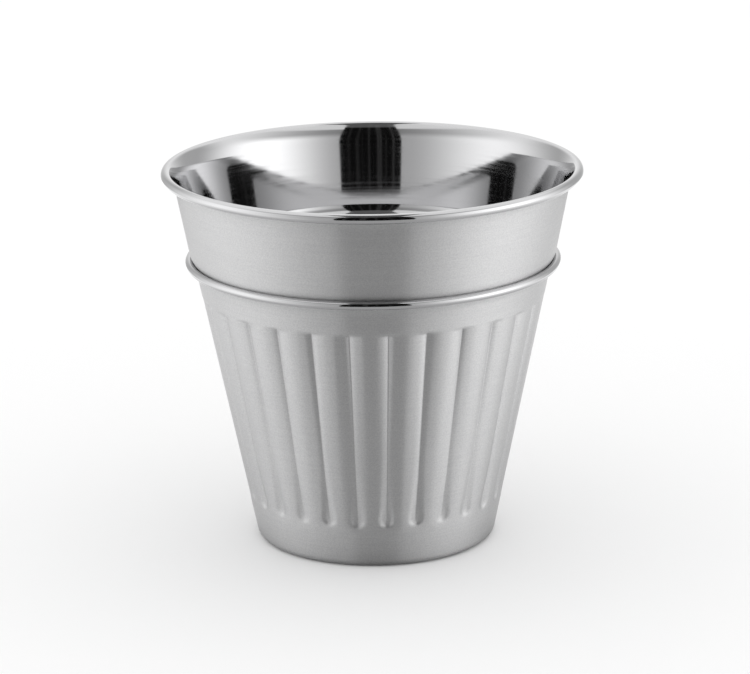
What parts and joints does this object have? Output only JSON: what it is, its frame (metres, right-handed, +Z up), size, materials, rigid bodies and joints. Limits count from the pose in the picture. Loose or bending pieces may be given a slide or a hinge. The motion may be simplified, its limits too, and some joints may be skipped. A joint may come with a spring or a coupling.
{
  "type": "windproof table ashtray",
  "caption": "Steel table ashtray shaped like a small fluted waste bin, with a lift-out funnel insert that drops ash through a central hole.",
  "frame": {"origin": "centre of the standing ring's face, on the floor", "axes": "+Z up along the axis of both pieces, +Y towards the back of the view, +X to the right"},
  "size_m": [0.095, 0.095, 0.0862],
  "materials": {
    "bin_steel": "satin stainless steel, fine grain, inside and outside",
    "insert_steel": "stainless steel, satin outside and mirror-polished inside"
  },
  "bodies": {
    "bin": {"bin_body": "bin_steel"},
    "insert": {"funnel_insert": "insert_steel"}
  },
  "joints": [
    {"name": "insert_lift", "type": "slide", "parent": "bin", "child": "insert", "axis": [0, 0, 1], "range_m": [0, 0.06]}
  ]
}
